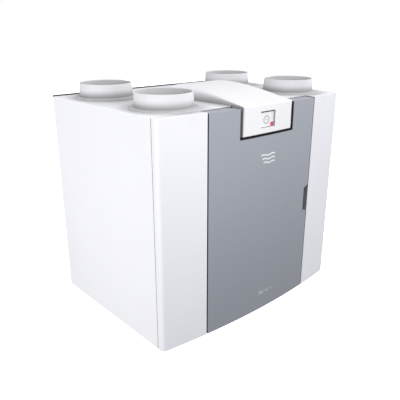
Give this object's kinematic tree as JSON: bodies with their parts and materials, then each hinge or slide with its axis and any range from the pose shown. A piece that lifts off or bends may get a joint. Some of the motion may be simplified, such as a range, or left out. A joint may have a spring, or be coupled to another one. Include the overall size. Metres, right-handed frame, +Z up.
{
  "type": "heat recovery unit",
  "caption": "Box-shaped heat recovery ventilation unit with a bowed front, a hinged grey filter door, a display hood and round duct spigots on top.",
  "frame": {"origin": "middle of the underside of the whole object's box", "axes": "+X to the right seen from the front, +Y to the back, +Z up; the front faces -Y"},
  "size_m": [0.75, 0.56, 0.699],
  "materials": {
    "casing_white": "satin",
    "spigot_white": "satin",
    "door_grey": "satin",
    "hood_white": "satin",
    "dark_plastic": "satin",
    "black_rubber": "matte",
    "seal_foam": "matte",
    "galvanised_steel": "satin",
    "bright_steel": "satin",
    "motor_metal": "satin",
    "moulded_foam": "matte",
    "exchanger_plastic": "satin",
    "filter_media": "matte",
    "grey_plastic": "satin",
    "circuit_board": "satin",
    "display_glass": "gloss"
  },
  "bodies": {
    "casing": {"base_plate": "casing_white", "side_panel_left": "casing_white", "side_panel_right": "casing_white", "top_plate": "casing_white", "back_panel": "galvanised_steel", "rear_trim": "black_rubber", "hanging_rail": "galvanised_steel", "front_frame": "galvanised_steel", "door_seal": "black_rubber", "front_column_left": "casing_white", "front_column_right": "casing_white", "hood": "hood_white", "display_bezel": "hood_white", "display_screen": "display_glass", "display_board": "circuit_board", "control_tray": "dark_plastic", "control_board": "circuit_board", "mains_gland": "dark_plastic", "insulation_base": "moulded_foam", "insulation_roof": "moulded_foam", "insulation_left": "moulded_foam", "insulation_right": "moulded_foam", "insulation_core": "moulded_foam", "insulation_front": "moulded_foam", "bypass_actuator": "dark_plastic", "heat_exchanger": "exchanger_plastic", "exchanger_cover": "moulded_foam", "condensate_tray": "grey_plastic", "drain_pipe": "grey_plastic", "filter_left": "filter_media", "filter_cap_left": "dark_plastic", "fan_housing_left": "grey_plastic", "fan_motor_left": "motor_metal", "air_sensor_left": "bright_steel", "spigot_front_left": "spigot_white", "gasket_front_left": "seal_foam", "spigot_rear_left": "spigot_white", "gasket_rear_left": "seal_foam", "filter_right": "filter_media", "filter_cap_right": "dark_plastic", "fan_housing_right": "grey_plastic", "fan_motor_right": "motor_metal", "air_sensor_right": "bright_steel", "spigot_front_right": "spigot_white", "gasket_front_right": "seal_foam", "spigot_rear_right": "spigot_white", "gasket_rear_right": "seal_foam", "hinge_bracket_upper": "bright_steel", "door_magnet_upper": "dark_plastic", "hinge_bracket_lower": "bright_steel", "door_magnet_lower": "dark_plastic"},
    "door": {"filter_door": "door_grey", "finger_pull": "dark_plastic", "door_liner": "moulded_foam", "door_striker": "bright_steel", "hinge_lug_upper": "dark_plastic", "hinge_lug_lower": "dark_plastic"},
    "left_fan_wheel": {"impeller_left": "dark_plastic"},
    "right_fan_wheel": {"impeller_right": "dark_plastic"},
    "bypass_damper": {"bypass_flap": "dark_plastic"}
  },
  "joints": [
    {"name": "door_hinge", "type": "hinge", "parent": "casing", "child": "door", "pos_m": [-0.215, -0.26296, 0.3275], "axis": [0, 0, -1], "range_deg": [0, 100]},
    {"name": "left_fan_spin", "type": "hinge", "parent": "casing", "child": "left_fan_wheel", "pos_m": [-0.228, -0.098, 0.085], "axis": [0, 0, 1], "continuous": true},
    {"name": "right_fan_spin", "type": "hinge", "parent": "casing", "child": "right_fan_wheel", "pos_m": [0.228, -0.098, 0.085], "axis": [0, 0, 1], "continuous": true},
    {"name": "bypass_turn", "type": "hinge", "parent": "casing", "child": "bypass_damper", "pos_m": [0, -0.08, 0.5502], "axis": [0, 1, 0], "range_deg": [0, 90]}
  ]
}
